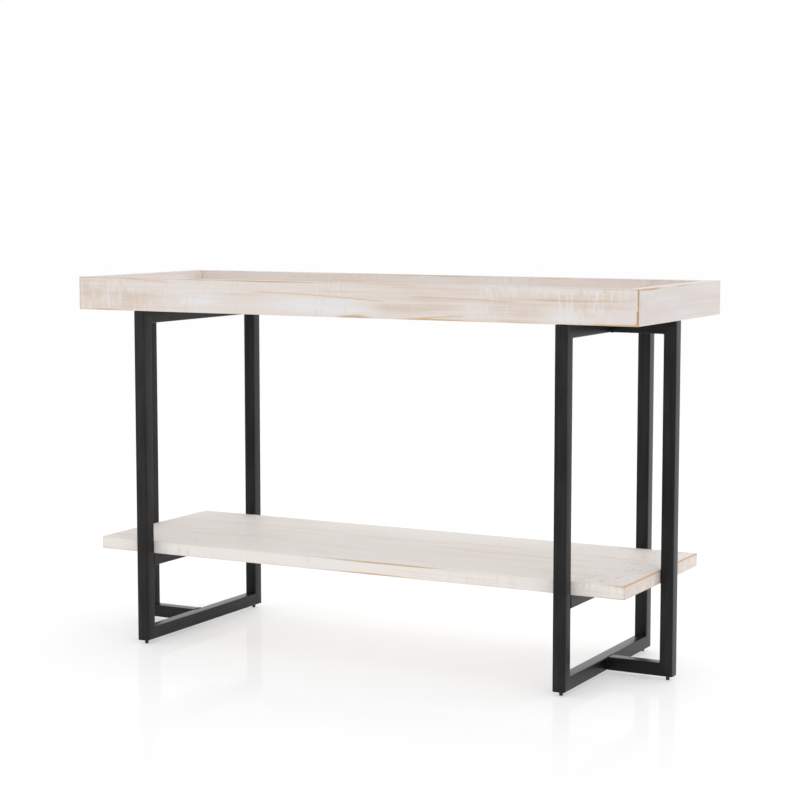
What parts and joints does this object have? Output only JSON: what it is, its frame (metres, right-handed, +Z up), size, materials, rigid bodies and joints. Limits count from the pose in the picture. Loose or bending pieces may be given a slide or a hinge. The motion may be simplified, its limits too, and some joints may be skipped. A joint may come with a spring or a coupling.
{
  "type": "console table",
  "caption": "Long narrow console table with a rimmed tray top and a lower shelf of pale whitewashed wood on a black square-tube frame with an outrigger leg at each end.",
  "frame": {"origin": "on the floor, under the middle of the tray", "axes": "+X along the table to the right as seen from the front, +Y from the front to the back, +Z up"},
  "size_m": [1.2, 0.43, 0.737],
  "materials": {
    "whitewashed_wood": "whitewashed open grain, matte, with ochre wear along the edges and in the cracks",
    "black_powder_coat": "satin black powder coat with a fine texture",
    "black_bolt": "black oxide, satin",
    "zinc_steel": "zinc plated, slightly dull",
    "black_nylon": "moulded black nylon, matte"
  },
  "bodies": {
    "table": {"rim_front": "whitewashed_wood", "rim_back": "whitewashed_wood", "rim_left": "whitewashed_wood", "rim_right": "whitewashed_wood", "tray_floor": "whitewashed_wood", "shelf": "whitewashed_wood", "left_front_leg": "black_powder_coat", "left_back_leg": "black_powder_coat", "left_top_bar": "black_powder_coat", "left_bottom_bar": "black_powder_coat", "left_shelf_bar": "black_powder_coat", "left_end_leg": "black_powder_coat", "left_end_top_bar": "black_powder_coat", "left_end_bottom_bar": "black_powder_coat", "right_front_leg": "black_powder_coat", "right_back_leg": "black_powder_coat", "right_top_bar": "black_powder_coat", "right_bottom_bar": "black_powder_coat", "right_shelf_bar": "black_powder_coat", "right_end_leg": "black_powder_coat", "right_end_top_bar": "black_powder_coat", "right_end_bottom_bar": "black_powder_coat", "left_front_top_bolt": "black_bolt", "left_front_top_insert": "zinc_steel", "left_back_top_bolt": "black_bolt", "left_back_top_insert": "zinc_steel", "left_end_top_bolt": "black_bolt", "left_end_top_insert": "zinc_steel", "left_front_shelf_bolt": "black_bolt", "left_front_shelf_insert": "zinc_steel", "left_back_shelf_bolt": "black_bolt", "left_back_shelf_insert": "zinc_steel", "right_front_top_bolt": "black_bolt", "right_front_top_insert": "zinc_steel", "right_back_top_bolt": "black_bolt", "right_back_top_insert": "zinc_steel", "right_end_top_bolt": "black_bolt", "right_end_top_insert": "zinc_steel", "right_front_shelf_bolt": "black_bolt", "right_front_shelf_insert": "zinc_steel", "right_back_shelf_bolt": "black_bolt", "right_back_shelf_insert": "zinc_steel", "left_front_foot_nut": "zinc_steel", "left_back_foot_nut": "zinc_steel", "left_end_foot_nut": "zinc_steel", "right_front_foot_nut": "zinc_steel", "right_back_foot_nut": "zinc_steel", "right_end_foot_nut": "zinc_steel"},
    "left_front_foot": {"left_front_foot_pad": "black_nylon", "left_front_foot_stem": "zinc_steel"},
    "left_back_foot": {"left_back_foot_pad": "black_nylon", "left_back_foot_stem": "zinc_steel"},
    "left_end_foot": {"left_end_foot_pad": "black_nylon", "left_end_foot_stem": "zinc_steel"},
    "right_front_foot": {"right_front_foot_pad": "black_nylon", "right_front_foot_stem": "zinc_steel"},
    "right_back_foot": {"right_back_foot_pad": "black_nylon", "right_back_foot_stem": "zinc_steel"},
    "right_end_foot": {"right_end_foot_pad": "black_nylon", "right_end_foot_stem": "zinc_steel"}
  },
  "joints": [
    {"name": "left_front_foot_screw", "type": "slide", "parent": "table", "child": "left_front_foot", "axis": [0, 0, -1], "range_m": [0, 0.008]},
    {"name": "left_back_foot_screw", "type": "slide", "parent": "table", "child": "left_back_foot", "axis": [0, 0, -1], "range_m": [0, 0.008]},
    {"name": "left_end_foot_screw", "type": "slide", "parent": "table", "child": "left_end_foot", "axis": [0, 0, -1], "range_m": [0, 0.008]},
    {"name": "right_front_foot_screw", "type": "slide", "parent": "table", "child": "right_front_foot", "axis": [0, 0, -1], "range_m": [0, 0.008]},
    {"name": "right_back_foot_screw", "type": "slide", "parent": "table", "child": "right_back_foot", "axis": [0, 0, -1], "range_m": [0, 0.008]},
    {"name": "right_end_foot_screw", "type": "slide", "parent": "table", "child": "right_end_foot", "axis": [0, 0, -1], "range_m": [0, 0.008]}
  ]
}
